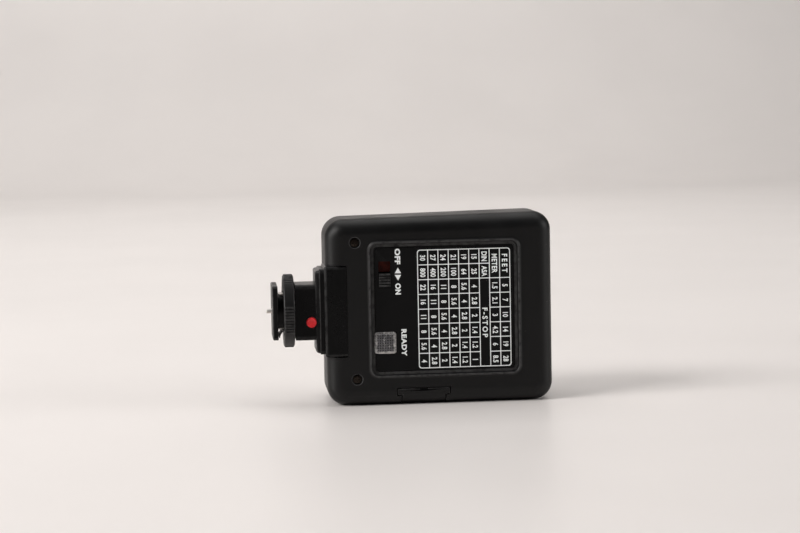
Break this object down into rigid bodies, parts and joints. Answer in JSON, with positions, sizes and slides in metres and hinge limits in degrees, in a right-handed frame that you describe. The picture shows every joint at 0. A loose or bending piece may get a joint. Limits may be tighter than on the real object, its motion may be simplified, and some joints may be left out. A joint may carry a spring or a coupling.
{
  "type": "speedlight flash",
  "caption": "Compact manual flash unit with a recessed exposure table, slide switch, ready lamp, sliding battery door and a hot-shoe foot with a lock wheel.",
  "frame": {"origin": "centre of the bounding box, on the surface that the flash's battery-door side rests on", "axes": "+X from the camera foot towards the flash head, -Y the back with the control panel, +Y the front with the window, +Z away from the battery door"},
  "size_m": [0.0986, 0.0414, 0.0655],
  "materials": {
    "case_plastic": "satin black moulding",
    "label_print": "black plate with white print",
    "knob_plastic": "black, ribbed",
    "flag_red": "dark red",
    "switch_metal": "plated",
    "clear_plastic": "clear, prismatic",
    "neon_glass": "clear",
    "chamber_plastic": "moulded",
    "contact_nickel": "nickel silver",
    "board_laminate": "phenolic laminate",
    "winding_copper": "taped copper winding",
    "component_black": "moulded",
    "capacitor_can": "sleeved",
    "reflector_aluminium": "polished",
    "tube_glass": "clear",
    "silicone": "soft",
    "foot_plastic": "satin black moulding",
    "spring_steel": "blackened",
    "screw_steel": "browned",
    "washer_plastic": "moulded",
    "wheel_plastic": "moulded, ribbed",
    "button_red": "translucent red"
  },
  "bodies": {
    "case": {"rear_cover": "case_plastic", "front_cover": "case_plastic", "label_plate": "label_print", "power_switch_body": "switch_metal", "ready_lamp_lens": "clear_plastic", "ready_lamp": "neon_glass", "battery_chamber": "chamber_plastic", "cell_contact_plate": "contact_nickel", "cell_contact_spring": "contact_nickel", "circuit_board": "board_laminate", "oscillator_transformer": "winding_copper", "oscillator_transistor": "component_black", "trigger_coil": "winding_copper", "flash_capacitor": "capacitor_can", "window_lens": "clear_plastic", "reflector": "reflector_aluminium", "flash_tube": "tube_glass", "tube_sleeve_lower": "silicone", "tube_sleeve_upper": "silicone", "shoe_block": "case_plastic", "shoe_foot": "foot_plastic", "ground_strip_lower": "contact_nickel", "ground_strip_upper": "contact_nickel", "ground_leaf": "spring_steel", "contact_spring": "contact_nickel", "contact_terminal": "contact_nickel", "foot_screw_rear": "screw_steel", "foot_screw_front": "screw_steel", "case_screw_lower": "screw_steel", "case_screw_upper": "screw_steel", "test_button_spring": "contact_nickel", "test_contact": "contact_nickel"},
    "knob": {"power_switch_knob": "knob_plastic", "switch_flag": "flag_red"},
    "door": {"battery_door": "case_plastic", "door_bridge_contact": "contact_nickel"},
    "clamp": {"clamp_washer": "washer_plastic"},
    "wheel": {"lock_wheel": "wheel_plastic"},
    "pin": {"contact_pin": "contact_nickel"},
    "button": {"test_button": "button_red"}
  },
  "joints": [
    {"name": "switch_slide", "type": "slide", "parent": "case", "child": "knob", "axis": [0, 0, 1], "range_m": [0, 0.004]},
    {"name": "door_slide", "type": "slide", "parent": "case", "child": "door", "axis": [0, -1, 0], "range_m": [0, 0.034]},
    {"name": "clamp_slide", "type": "slide", "parent": "case", "child": "clamp", "axis": [-1, 0, 0], "range_m": [0, 0.00115], "deforming": ["ground_leaf"]},
    {"name": "wheel_turn", "type": "hinge", "parent": "clamp", "child": "wheel", "pos_m": [-0.0435, -0.00802, 0.03285], "axis": [-1, 0, 0], "range_deg": [0, 330]},
    {"name": "contact_press", "type": "slide", "parent": "case", "child": "pin", "axis": [1, 0, 0], "range_m": [0, 0.0012], "stiffness_N_per_m": 300, "deforming": ["contact_spring"]},
    {"name": "button_press", "type": "slide", "parent": "case", "child": "button", "axis": [0, 1, 0], "range_m": [0, 0.0008], "stiffness_N_per_m": 400, "deforming": ["test_button_spring"]}
  ],
  "couplings": [
    {"joint": "clamp_slide", "follows": "wheel_turn", "m_per_rad": 0.00019894}
  ]
}
